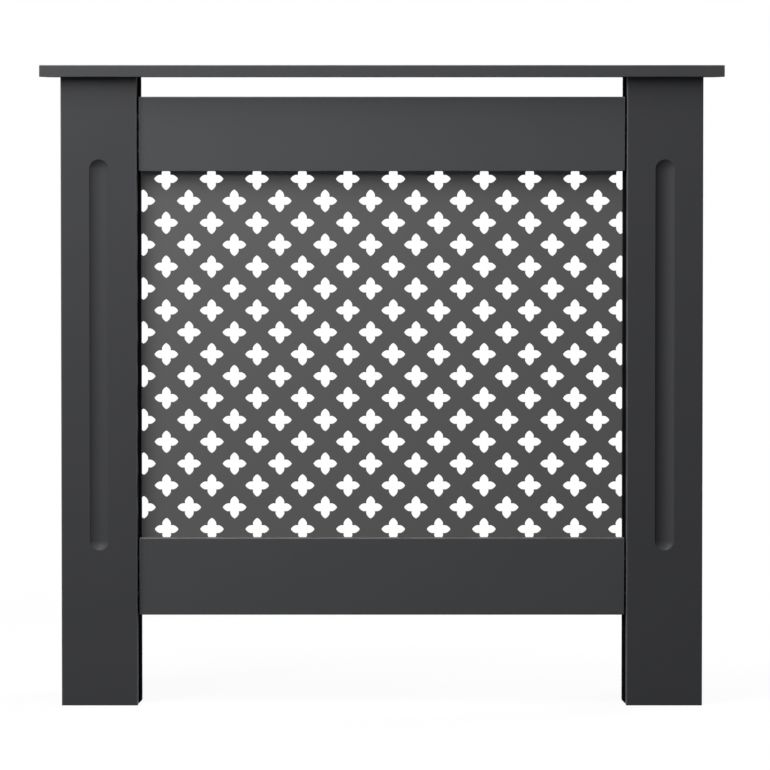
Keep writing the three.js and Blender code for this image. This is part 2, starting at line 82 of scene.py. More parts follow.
def nodes_called(start):
    return sorted(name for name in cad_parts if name.startswith(start))


# ---- Settings ----


def length(name, description, default):
    return FloatProperty(
        name=name, description=description, default=default, min=0, subtype="DISTANCE", unit="LENGTH"
    )


def place_setting(name, description, default):
    return FloatVectorProperty(
        name=name, description=description, default=default, size=3, subtype="TRANSLATION", unit="LENGTH"
    )


def share(name, description, default):
    return FloatProperty(
        name=name, description=description, default=default, min=0, max=1, subtype="FACTOR"
    )


def colour(name, description, default):
    return FloatVectorProperty(
        name=name, description=description, default=default, size=3, min=0, max=1, subtype="COLOR"
    )


def power(name, description, default):
    return FloatProperty(name=name, description=description, default=default, min=0, unit="POWER")


class CabinetShape(bpy.types.PropertyGroup):
    """Sizes of the boards' and the sheet's details that the frame leaves plain."""

    arris: length("Arris", "Radius of the eased edges of the boards", 1.2 * MM)
    shelf_arris: length("Shelf arris", "Radius of the shelf's edges", 1 * MM)
    sheet_arris: length("Sheet arris", "Radius of the edges of the crosses", 0.35 * MM)
    flute_depth: length("Flute depth", "How deep the flute is in its middle", 5 * MM)
    flute_width: length("Flute width", "Width of the flute at the post's face", 22 * MM)
    flute_low: length("Flute foot", "Height of the flute's lower end above the floor", 178 * MM)
    flute_top: length("Flute head", "From the flute's upper end to the shelf", 94 * MM)
    notch_depth: length("Notch depth", "How far side panels are cut back for the skirting board", 15 * MM)
    notch_height: length("Notch height", "How high side panels are cut back at the skirting", 100 * MM)
    rail_room: length("Rail end room", "How much wider the joints are than the frame's", 0.8 * MM)
    foot_cut: length("Foot cut", "Size of the slanted cut at the foot of the inner battens", 4 * MM)
    pitch_x: length("Column pitch", "From one cross to the next in its row", 52 * MM)
    pitch_z: length("Row pitch", "From one row to the next but one", 50.2 * MM)
    cross_offset: length("Cross offset", "From the sheet's middle to its middle row's first cross", 13 * MM)
    cross_width: length("Cross width", "Width of a cross from tip to tip", 27.2 * MM)
    cross_height: length("Cross height", "Height of a cross from tip to tip", 25.9 * MM)
    cross_level_arm: length("Level arm", "Half the width of a cross's level arms", 4.55 * MM)
    cross_upright_arm: length("Upright arm", "Half the width of a cross's upright arms", 4.95 * MM)
    cross_point: length("Arm point", "Length of an arm's pointed end", 5.5 * MM)
    cross_bulge: length("Arm bulge", "How far the sides of an arm's point swell out", 0.75 * MM)
    point_steps: IntProperty(
        name="Point steps", description="Straight pieces along each side of a point", default=3, min=1
    )


class CabinetFittings(bpy.types.PropertyGroup):
    """Sizes of the cam locks, screws and brackets that the frame leaves plain."""

    metal_arris: length("Metal arris", "Radius of the edges of the fittings", 0.6 * MM)
    cam_room: length("Cam room", "How much bigger a cam lock's pocket is", 0.3 * MM)
    cam_slot_width: length("Cam slot width", "Width of the slots in a cam lock's face", 1.6 * MM)
    cam_slot_depth: length("Cam slot depth", "Depth of the slots in a cam lock's face", 2 * MM)
    cam_long_slot: share("Cam long slot", "Length of the long slot, as a share of the face", 0.72)
    cam_short_slot: share("Cam short slot", "Length of the short slot, as a share of the face", 0.45)
    head_radius: length("Head radius", "Radius of a screw's head", 3 * MM)
    head_height: length("Head height", "Height of a screw's head", 2 * MM)
    shank_radius: length("Shank radius", "Radius of a screw's shank", 1.5 * MM)
    screw_point: length("Screw point", "Length of a screw's point", 2.5 * MM)
    recess_reach: length("Recess reach", "From the middle of a screw's cross recess to its ends", 1.4 * MM)
    recess_width: length("Recess width", "Width of the bars of a screw's cross recess", 0.5 * MM)
    recess_depth: length("Recess depth", "Depth of a screw's cross recess", 1.1 * MM)
    strip: length("Bracket strip", "Thickness of the brackets' steel strip", 2 * MM)
    strip_bend: length("Bracket bend", "Outer radius of the bend in a bracket", 2.5 * MM)
    wall_hole: length("Wall hole", "Radius of the hole for a wall screw", 2.5 * MM)
    wall_hole_edge: length("Wall hole edge", "From a bracket's free end to its hole's middle", 10 * MM)


class CabinetFinish(bpy.types.PropertyGroup):
    """Colours of the paints, and how they lie."""

    post_paint: colour("Post paint", "Paint of the posts and side panels", (0.068, 0.069, 0.073))
    shelf_paint: colour("Shelf paint", "Paint of the shelf", (0.077, 0.078, 0.081))
    # painted shade: the inner battens are near black, standing in for the shade beside the posts
    batten_painted_shade: colour("Batten painted shade", "Black paint of the inner battens", (0.003, 0.003, 0.0032))
    rail_paint: colour("Rail paint", "Paint of the rails", (0.089, 0.091, 0.095))
    sheet_paint: colour("Sheet paint", "Paint of the pierced sheet", (0.149, 0.149, 0.149))
    shine: share("Shine", "Strength of the paints' reflection", 0.08)
    # painted highlight: besides thin paint, the lighter arrises stand in for the light that rounded edges
    # catch
    edge_tint_and_highlight: share("Edge tint and highlight", "How much lighter the paint is where it runs thin over an edge", 0.8)
    mottling: share("Mottling", "How much the paint's colour wanders", 0.10)
    peel: length("Peel", "Size of the fine ripple that a paint roller leaves", 3 * MM)
    # painted light: the sheet's paint is made lighter in a band under the upper rail, lifting the rail's
    # shadow
    painted_light_height: length("Painted light band", "Height of the light band on the sheet, under the rail", 10 * MM)
    painted_light_gain: FloatProperty(
        name="Painted light gain", description="How much lighter the light band is", default=1.3, min=0
    )


class CabinetStage(bpy.types.PropertyGroup):
    """Camera, lamps and floor."""

    distance: length("Camera distance", "From the shelf's front edge to the camera", 6.0)
    camera_height: length("Camera height", "Height of the camera above the floor", 0.7)
    camera_side: length("Camera side step", "How far the camera stands right of the middle", 0.0035)
    tilt: FloatProperty(
        name="Tilt",
        description="How far the camera looks down",
        default=math.radians(2.405),
        subtype="ANGLE",
    )
    lens: FloatProperty(
        name="Lens", description="Focal length of the camera", default=246.44, subtype="DISTANCE_CAMERA"
    )
    shift_y: FloatProperty(
        name="Shift", description="Vertical shift of the lens, in picture widths", default=-0.0909
    )
    lit_place: place_setting("Lit place", "Place that both lamps point at", (0, 0, 0.35))
    key_place: place_setting("Key place", "Place of the large lamp above the front", (-0.65, -0.85, 1.77))
    key_width: length("Key width", "Width of the lamp above the front", 1.2)
    key_height: length("Key height", "Height of the lamp above the front", 2.2)
    key_power: power("Key power", "Power of the lamp above the front", 47)
    back_place: place_setting("Back place", "Place of the lamp behind, at the right", (1.6, 1.3, 1.6))
    back_size: length("Back size", "Width and height of the lamp behind", 1.4)
    back_power: power("Back power", "Power of the lamp behind", 55)
    sky_level: share("Sky level", "Strength of the even light from all round", 0.03)
    floor_radius: length("Floor radius", "Radius of the floor", 6.0)
    floor_drop: length("Floor drop", "How far the floor lies under the feet", 0.2 * MM)
    floor_tone: share("Floor tone", "How much of the lamps' light the floor gives back", 0.08)
    floor_lift: share("Floor lift", "How white the floor looks in the cabinet's shadow", 0.92)
    fade_start: length("Fade start", "Distance at which the floor starts to turn plain white", 0.765)
    fade_end: length("Fade end", "Distance at which the floor is plain white", 1.7)
    floor_corners: IntProperty(
        name="Floor corners", description="Number of corners of the floor's edge", default=96, min=12
    )


# ---- Mesh helpers ----


def block(corner, opposite):
    """A new bmesh of a block between two opposite corners."""
    corner, opposite = Vector(corner), Vector(opposite)
    bm = bmesh.new()
    bmesh.ops.create_cube(bm, size=1)
    bmesh.ops.scale(bm, vec=[abs(part) for part in opposite - corner], verts=bm.verts)
    bmesh.ops.translate(bm, vec=(corner + opposite) / 2, verts=bm.verts)
    return bm


def drum(radius, depth, sides=48):
    """A new bmesh of a cylinder about Z, standing on the origin."""
    bm = bmesh.new()
    bmesh.ops.create_cone(bm, cap_ends=True, segments=sides, radius1=radius, radius2=radius, depth=depth)
    bmesh.ops.translate(bm, vec=(0, 0, depth / 2), verts=bm.verts)
    return bm


def place(bm, point, direction):
    """Turns a bmesh drawn about Z to a direction, and moves it to a point."""
    turn = Vector(direction).to_track_quat("Z", "Y").to_matrix().to_4x4()
    bmesh.ops.transform(bm, matrix=Matrix.Translation(point) @ turn, verts=bm.verts)
    return bm


def lies_at(edge, axis, value):
    """Whether both ends of an edge have this x, y or z."""
    return all(abs(getattr(vert.co, axis) - value) < TOUCHING for vert in edge.verts)


def sharp_edges(bm, angle=math.radians(40)):
    return [edge for edge in bm.edges if edge.is_manifold and edge.calc_face_angle() > angle]


def round_edges(bm, edges, radius, segments=3):
    """Rounds edges and marks the new faces as arrises."""
    arris = bm.faces.layers.float.get("arris") or bm.faces.layers.float.new("arris")
    made = bmesh.ops.bevel(
        bm,
        geom=list(edges),
        offset=radius,
        offset_type="OFFSET",
        affect="EDGES",
        segments=segments,
        profile=0.5,
        material=-1,
        clamp_overlap=True,
    )
    for face in made["faces"]:
        face[arris] = 1


def carve(bm, cutter):
    """Cuts the shape of one bmesh out of another, and frees the cutter."""
    objects = []
    for name, part in (("blank", bm), ("cutter", cutter)):
        mesh = bpy.data.meshes.new(name)
        part.to_mesh(mesh)
        objects.append(bpy.data.objects.new(name, mesh))
        bpy.context.scene.collection.objects.link(objects[-1])
    blank, tool = objects
    boolean = blank.modifiers.new("Cut", "BOOLEAN")
    boolean.operation = "DIFFERENCE"
    boolean.solver = "EXACT"
    boolean.object = tool
    bpy.context.view_layer.update()
    evaluated = blank.evaluated_get(bpy.context.evaluated_depsgraph_get())
    cut_mesh = bpy.data.meshes.new_from_object(evaluated)
    bm.clear()
    bm.from_mesh(cut_mesh)
    cutter.free()
    for piece in objects:
        mesh = piece.data
        bpy.data.objects.remove(piece)
        bpy.data.meshes.remove(mesh)
    bpy.data.meshes.remove(cut_mesh)
    if not bm.faces:
        raise RuntimeError("the cut left nothing of the piece")


def finish_piece(bm, name, material, slot, *nodes):
    """Makes an object from a bmesh, in place of nodes of the frame."""
    for face in bm.faces:
        face.smooth = max(abs(part) for part in face.normal) < SQUARE_ON
    for edge in sharp_edges(bm):
        edge.smooth = False
    mesh = bpy.data.meshes.new(name)
    bm.to_mesh(mesh)
    bm.free()
    mesh.materials.append(material)
    piece = bpy.data.objects.new(name, mesh)
    bpy.context.scene.collection.objects.link(piece)
    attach(piece, BODY)
    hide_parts(*nodes)


def dress(node, material):
    """Gives a node of the frame its material."""
    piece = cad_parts[node]
    piece.data.materials.clear()
    piece.data.materials.append(material)


# ---- Shader helpers ----


def add_node(tree, kind, at, **values):
    """A new node at a place in the node editor."""
    node = tree.nodes.new(kind)
    node.location = at
    for name, value in values.items():
        setattr(node, name, value)
    return node


def new_group(name, inputs, outputs):
    """A node group with its input and output nodes, from sockets' names and types."""
    group = bpy.data.node_groups.new(name, "ShaderNodeTree")
    for label, kind in inputs.items():
        group.interface.new_socket(name=label, in_out="INPUT", socket_type=kind)
    for label, kind in outputs.items():
        group.interface.new_socket(name=label, in_out="OUTPUT", socket_type=kind)
    source = add_node(group, "NodeGroupInput", (-900, 0))
    sink = add_node(group, "NodeGroupOutput", (600, 0))
    return group, source, sink


def place_on_piece(tree, at):
    return add_node(tree, "ShaderNodeTexCoord", at).outputs["Object"]


def axes_of(tree, vector, at):
    """Outputs X, Y and Z of a vector."""
    node = add_node(tree, "ShaderNodeSeparateXYZ", at)
    tree.links.new(vector, node.inputs["Vector"])
    return node.outputs


def noise(tree, vector, at, scale, detail, roughness):
    node = add_node(tree, "ShaderNodeTexNoise", at)
    node.inputs["Scale"].default_value = scale
    node.inputs["Detail"].default_value = detail
    node.inputs["Roughness"].default_value = roughness
    tree.links.new(vector, node.inputs["Vector"])
    return node.outputs["Fac"]


def arithmetic(tree, operation, first, second, at, third=None):
    """A Math node's value, from numbers or outputs."""
    node = add_node(tree, "ShaderNodeMath", at, operation=operation)
    for socket, value in zip(node.inputs, (first, second, third)):
        if value is None:
            continue
        if isinstance(value, (int, float)):
            socket.default_value = value
        else:
            tree.links.new(value, socket)
    return node.outputs["Value"]


def scaled(tree, tone, factor, at):
    """A colour times a factor, which is a number or an output."""
    node = add_node(tree, "ShaderNodeVectorMath", at, operation="SCALE")
    tree.links.new(tone, node.inputs[0])
    if isinstance(factor, (int, float)):
        node.inputs["Scale"].default_value = factor
    else:
        tree.links.new(factor, node.inputs["Scale"])
    return node.outputs["Vector"]


def blend(tree, factor, first, second, at):
    """A colour between two others, each a colour or an output."""
    node = add_node(tree, "ShaderNodeMix", at, data_type="RGBA")
    for label, value in (("Factor", factor), ("A", first), ("B", second)):
        socket = next(s for s in node.inputs if s.name == label and s.enabled)
        if hasattr(value, "is_output"):
            tree.links.new(value, socket)
        else:
            socket.default_value = value
    return next(s for s in node.outputs if s.enabled)


def ramp(tree, value, from_range, to_range, at):
    """A smooth step from one range of values to another."""
    node = add_node(tree, "ShaderNodeMapRange", at, interpolation_type="SMOOTHSTEP")
    labels = ("From Min", "From Max", "To Min", "To Max")
    for label, number in zip(labels, (*from_range, *to_range)):
        node.inputs[label].default_value = number
    tree.links.new(value, node.inputs["Value"])
    return node.outputs["Result"]


def new_material(name):
    material = bpy.data.materials.new(name)
    material.use_nodes = True
    tree = material.node_tree
    return material, tree, tree.nodes["Principled BSDF"]


def add_bump(tree, shader, height, strength, distance):
    bump = add_node(tree, "ShaderNodeBump", (-250, -300))
    bump.inputs["Strength"].default_value = strength
    bump.inputs["Distance"].default_value = distance
    tree.links.new(height, bump.inputs["Height"])
    tree.links.new(bump.outputs["Normal"], shader.inputs["Normal"])


# ---- Paints ----


def paint_film_group():
    """Rolled paint: a wandering tone, a fine ripple, and a thin light line over the edges, which is partly
    thin paint and partly a painted highlight.
    """
    if "Paint film" in bpy.data.node_groups:
        return bpy.data.node_groups["Paint film"]
    inputs = {
        "Paint": "NodeSocketColor",
        "Mottling": "NodeSocketFloat",
        "Edge Tint": "NodeSocketFloat",
        "Peel Scale": "NodeSocketFloat",
        "Roughness": "NodeSocketFloat",
    }
    outputs = {"Color": "NodeSocketColor", "Roughness": "NodeSocketFloat", "Height": "NodeSocketFloat"}
    group, source, sink = new_group("Paint film", inputs, outputs)
    place_on = place_on_piece(group, (-1200, -200))

    # the tone wanders in large clouds and in small flecks
    clouds = noise(group, place_on, (-900, -200), scale=14, detail=4, roughness=0.55)
    flecks = noise(group, place_on, (-900, -400), scale=420, detail=3, roughness=0.6)
    cloud_part = arithmetic(group, "MULTIPLY", clouds, 0.6, (-700, -400))
    both = arithmetic(group, "MULTIPLY_ADD", flecks, 0.4, (-700, -250), cloud_part)
    swing = arithmetic(group, "SUBTRACT", both, 0.5, (-520, -250))
    mottling = source.outputs["Mottling"]
    factor = arithmetic(group, "MULTIPLY_ADD", swing, mottling, (-340, -250), 1.0)
    tone = scaled(group, source.outputs["Paint"], factor, (-150, 50))

    # the arris mark, partly thin paint and partly a painted highlight, is on the faces of rounded edges,
    # and patches of noise break the line up
    arris = add_node(group, "ShaderNodeAttribute", (-900, 350), attribute_name="arris").outputs["Fac"]
    patch_noise = noise(group, place_on, (-900, 600), scale=60, detail=3, roughness=0.6)
    patches = ramp(group, patch_noise, (0.35, 0.65), (0.55, 1), (-700, 600))
    broken = arithmetic(group, "MULTIPLY", arris, patches, (-520, 450))
    thin_paint_and_highlight = arithmetic(group, "MULTIPLY", broken, source.outputs["Edge Tint"], (-340, 450))
    lighter = scaled(group, tone, THIN_PAINT_AND_HIGHLIGHT_GAIN, (-150, 250))
    group.links.new(blend(group, thin_paint_and_highlight, tone, lighter, (100, 150)), sink.inputs["Color"])

    sheen = arithmetic(group, "MULTIPLY_ADD", swing, 0.35, (-150, -300), source.outputs["Roughness"])
    smoother = arithmetic(group, "MULTIPLY_ADD", thin_paint_and_highlight, -0.25, (100, -200), sheen)
    group.links.new(smoother, sink.inputs["Roughness"])

    ripple = add_node(group, "ShaderNodeTexNoise", (-520, -600))
    ripple.inputs["Detail"].default_value = 2
    group.links.new(place_on, ripple.inputs["Vector"])
    group.links.new(source.outputs["Peel Scale"], ripple.inputs["Scale"])
    grit = noise(group, place_on, (-520, -800), scale=1800, detail=2, roughness=0.5)
    height = arithmetic(group, "MULTIPLY_ADD", grit, 0.25, (-150, -650), ripple.outputs["Fac"])
    group.links.new(height, sink.inputs["Height"])
    return group


def painted(name, paint, roughness, ripple):
    """Matt paint of one colour."""
    if name in bpy.data.materials:
        return bpy.data.materials[name]
    finish = bpy.context.scene.cabinet_finish
    material, tree, shader = new_material(name)
    film = add_node(tree, "ShaderNodeGroup", (-500, 0), node_tree=paint_film_group())
    film.inputs["Paint"].default_value = (*paint, 1)
    film.inputs["Mottling"].default_value = finish.mottling
    film.inputs["Edge Tint"].default_value = finish.edge_tint_and_highlight
    film.inputs["Peel Scale"].default_value = 1 / finish.peel
    film.inputs["Roughness"].default_value = roughness
    tree.links.new(film.outputs["Color"], shader.inputs["Base Color"])
    tree.links.new(film.outputs["Roughness"], shader.inputs["Roughness"])
    add_bump(tree, shader, film.outputs["Height"], strength=ripple, distance=0.1 * MM)
    shader.inputs["Specular IOR Level"].default_value = finish.shine
    return material


def post_paint():
    paint = bpy.context.scene.cabinet_finish.post_paint
    return painted("Anthracite post paint", paint, roughness=0.38, ripple=0.25)


def shelf_paint():
    paint = bpy.context.scene.cabinet_finish.shelf_paint
    return painted("Anthracite shelf paint", paint, roughness=0.5, ripple=0.25)


# painted shade: near black paint for the inner battens beside the posts
def batten_painted_shade():
    paint = bpy.context.scene.cabinet_finish.batten_painted_shade
    return painted("Black batten painted shade", paint, roughness=0.8, ripple=0.3)


def rail_paint():
    paint = bpy.context.scene.cabinet_finish.rail_paint
    return painted("Anthracite rail paint", paint, roughness=0.46, ripple=0.25)


def sheet_paint():
    """The sheet's paint, lighter in a narrow band of its front under the upper rail: painted light that
    lifts the rail's shadow on the sheet.
    """
    finish = bpy.context.scene.cabinet_finish
    name = "Anthracite sheet paint with painted light"
    if name in bpy.data.materials:
        return bpy.data.materials[name]
    material = painted(name, finish.sheet_paint, roughness=0.6, ripple=0.2)
    tree = material.node_tree
    base = tree.nodes["Principled BSDF"].inputs["Base Color"]
    axes = axes_of(tree, place_on_piece(tree, (-900, 400)), (-700, 400))
    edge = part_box("upper_rail")[0].z
    faces = [corner.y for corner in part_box("grille_panel")]
    # the painted light band grows upwards and is whole in its last tenth, right under the rail
    band = (edge - finish.painted_light_height, edge - 0.1 * finish.painted_light_height)
    near_rail = ramp(tree, axes["Z"], band, (0, 1), (-500, 450))
    on_front = ramp(tree, axes["Y"], faces, (1, 0), (-500, 250))
    both = arithmetic(tree, "MULTIPLY", near_rail, on_front, (-350, 400))
    gain = arithmetic(tree, "MULTIPLY_ADD", both, finish.painted_light_gain, (-250, 400), 1)
    lit = scaled(tree, base.links[0].from_socket, gain, (-200, 250))
    tree.links.new(lit, base)
    return material


# ---- Metal and wood ----


def steel(name, grain, dark, light, shine):
    """Steel with a slightly uneven tone and shine."""
    if name in bpy.data.materials:
        return bpy.data.materials[name]
    material, tree, shader = new_material(name)
    place_on = place_on_piece(tree, (-1000, 0))
    cloud = noise(tree, place_on, (-800, 0), scale=grain, detail=4, roughness=0.6)
    tree.links.new(blend(tree, cloud, dark, light, (-500, 100)), shader.inputs["Base Color"])
    tree.links.new(ramp(tree, cloud, (0.3, 0.7), shine, (-500, -100)), shader.inputs["Roughness"])
    shader.inputs["Metallic"].default_value = 1
    add_bump(tree, shader, cloud, strength=0.15, distance=0.05 * MM)
    return material


def zinc_plate():
    """Zinc-plated steel with a patchy shine."""
    return steel("Zinc plate", 260, (0.42, 0.43, 0.45, 1), (0.62, 0.62, 0.61, 1), (0.28, 0.46))


def black_oxide():
    """Blackened steel with a dull shine."""
    return steel("Black oxide", 300, (0.007, 0.007, 0.008, 1), (0.018, 0.018, 0.019, 1), (0.45, 0.65))


def beech():
    """Pale beech with short dark flecks along the dowel, near black where it crosses a rail's joint:
    painted shade in the joint's gap.
    """
    if "Beech" in bpy.data.materials:
        return bpy.data.materials["Beech"]
    material, tree, shader = new_material("Beech")
    place_on = place_on_piece(tree, (-1200, 0))
    stretch = add_node(tree, "ShaderNodeMapping", (-1000, 0))
    stretch.inputs["Scale"].default_value = (0.25, 1, 1)
    tree.links.new(place_on, stretch.inputs["Vector"])
    grain = noise(tree, stretch.outputs["Vector"], (-800, 0), scale=700, detail=5, roughness=0.6)
    wood = blend(tree, grain, (0.50, 0.32, 0.16, 1), (0.70, 0.50, 0.29, 1), (-500, 100))

    # painted shade: within a few millimetres of a joint's gap the dowel turns near black
    joint = (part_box("right_front_post")[0].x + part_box("upper_rail")[1].x) / 2
    across = axes_of(tree, place_on, (-1000, -300))["X"]
    from_middle = arithmetic(tree, "ABSOLUTE", across, None, (-800, -300))
    past_joint = arithmetic(tree, "SUBTRACT", from_middle, joint, (-650, -300))
    from_joint = arithmetic(tree, "ABSOLUTE", past_joint, None, (-500, -300))
    clear_of_painted_shade = ramp(tree, from_joint, (2 * MM, 3 * MM), (0, 1), (-350, -300))
    tone = blend(tree, clear_of_painted_shade, (0.004, 0.004, 0.004, 1), wood, (-200, 100))
    tree.links.new(tone, shader.inputs["Base Color"])
    shader.inputs["Roughness"].default_value = 0.7
    add_bump(tree, shader, grain, strength=0.3, distance=0.1 * MM)
    return material


# ---- Boards ----


def cam_pocket(cam_node, direction):
    """A round pocket that fits a cam lock with a little room, drawn as a cutter."""
    room = bpy.context.scene.cabinet_fittings.cam_room
    thickness, width = min(size(cam_node)), max(size(cam_node))
    depth = thickness + room
    mouth = middle(cam_node) + Vector(direction) * thickness / 2
    return place(drum(width / 2 + room, depth + OVER), mouth - Vector(direction) * depth, direction)


class CABINET_OT_shelf(bpy.types.Operator):
    """Makes the shelf, rounded over at its front and ends and square at the wall"""

    bl_idname = "cabinet.shelf"
    bl_label = "Shelf"

    def execute(self, context):
        shape = context.scene.cabinet_shape
        low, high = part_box("top_shelf")
        bm = block(low, high)
        rounded = [edge for edge in bm.edges if not lies_at(edge, "y", high.y)]
        round_edges(bm, rounded, shape.shelf_arris, 4)
        finish_piece(bm, "shelf", shelf_paint(), "painted_board", "top_shelf")
        return {"FINISHED"}


class CABINET_OT_posts(bpy.types.Operator):
    """Makes the two front posts, each with a long flute with round ends"""

    bl_idname = "cabinet.posts"
    bl_label = "Front posts"

    def flute_cutter(self, shape, node):
        """A ball drawn out along the flute, which enters the post by the flute's depth."""
        low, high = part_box(node)
        half = shape.flute_width / 2
        foot = low.z + shape.flute_low + half
        head = high.z - shape.flute_top - half
        radius = (half**2 + shape.flute_depth**2) / shape.flute_depth / 2
        cutter = bmesh.new()
        # an odd number of rings leaves a band across the middle, which stretches into the straight part
        bmesh.ops.create_uvsphere(cutter, u_segments=144, v_segments=65, radius=radius)
        upper = [vert for vert in cutter.verts if vert.co.z > 0]
        bmesh.ops.translate(cutter, vec=UP * (head - foot), verts=upper)
        start = Vector(((low.x + high.x) / 2, low.y + shape.flute_depth - radius, foot))
        bmesh.ops.translate(cutter, vec=start, verts=cutter.verts)
        return cutter

    def execute(self, context):
        shape = context.scene.cabinet_shape
        for side in SIDES:
            node = f"{side}_front_post"
            low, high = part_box(node)
            bm = block(low, high)
            front = [edge for edge in bm.edges if lies_at(edge, "y", low.y)]
            upright = [edge for edge in front if lies_at(edge, "x", edge.verts[0].co.x)]
            round_edges(bm, upright, shape.arris)
            carve(bm, self.flute_cutter(shape, node))
            finish_piece(bm, f"{side}_fluted_post", post_paint(), "painted_board", node)
        return {"FINISHED"}


class CABINET_OT_rails(bpy.types.Operator):
    """Makes the upper and lower rails, with the pockets of their cam locks"""

    bl_idname = "cabinet.rails"
    bl_label = "Rails"

    def execute(self, context):
        shape = context.scene.cabinet_shape
        for node in RAILS:
            low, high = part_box(node)
            room = Vector((shape.rail_room, 0, 0))
            bm = block(low + room, high - room)
            round_edges(bm, bm.edges[:], shape.arris)
            for cam in nodes_called(f"cam_lock_{node}"):
                carve(bm, cam_pocket(cam, TO_WALL))
            finish_piece(bm, f"{node}_board", rail_paint(), "painted_board", node)
        return {"FINISHED"}


class CABINET_OT_side_panels(bpy.types.Operator):
    """Makes the side panels with their skirting notches"""

    bl_idname = "cabinet.side_panels"
    bl_label = "Side panels"

    def execute(self, context):
        shape = context.scene.cabinet_shape
        for side, sign in SIDES.items():
            node = f"{side}_side_panel"
            low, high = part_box(node)
            bm = block(low, high)
            notch = block(
                (low.x - OVER, high.y - shape.notch_depth, low.z - OVER),
                (high.x + OVER, high.y + OVER, low.z + shape.notch_height),
            )
            carve(bm, notch)
            round_edges(bm, sharp_edges(bm), shape.arris / 2, 2)
            for cam in nodes_called(f"cam_lock_shelf_{side}"):
                carve(bm, cam_pocket(cam, (-sign, 0, 0)))
            finish_piece(bm, f"{side}_side_board", post_paint(), "painted_board", node)
        return {"FINISHED"}


class CABINET_OT_battens(bpy.types.Operator):
    """Makes the battens in the legs' corners, and the black battens beside the posts, whose black is
    painted shade for the posts' shaded inner sides
    """

    bl_idname = "cabinet.battens"
    bl_label = "Battens"

    def execute(self, context):
        shape = context.scene.cabinet_shape
        for side, sign in SIDES.items():
            corner = f"{side}_corner_batten"
            bm = block(*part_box(corner))
            round_edges(bm, bm.edges[:], shape.arris / 2, 2)
            finish_piece(bm, f"{side}_batten", post_paint(), "painted_board", corner)

            # the inner battens' near black paint is painted shade beside the posts
            inner = f"{side}_inner_batten"
            low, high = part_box(inner)
            bm = block(low, high)
            inner_face = low.x if sign > 0 else high.x
            bottom = [edge for edge in bm.edges if lies_at(edge, "z", low.z)]
            foot = [edge for edge in bottom if lies_at(edge, "x", inner_face)]
            bmesh.ops.bevel(
                bm, geom=foot, offset=shape.foot_cut, affect="EDGES", segments=1, profile=0.5, material=-1
            )
            round_edges(bm, sharp_edges(bm), shape.arris / 2, 2)
            finish_piece(bm, f"{side}_painted_shade_batten", batten_painted_shade(), "black_board", inner)
        return {"FINISHED"}


# ---- The pierced sheet ----


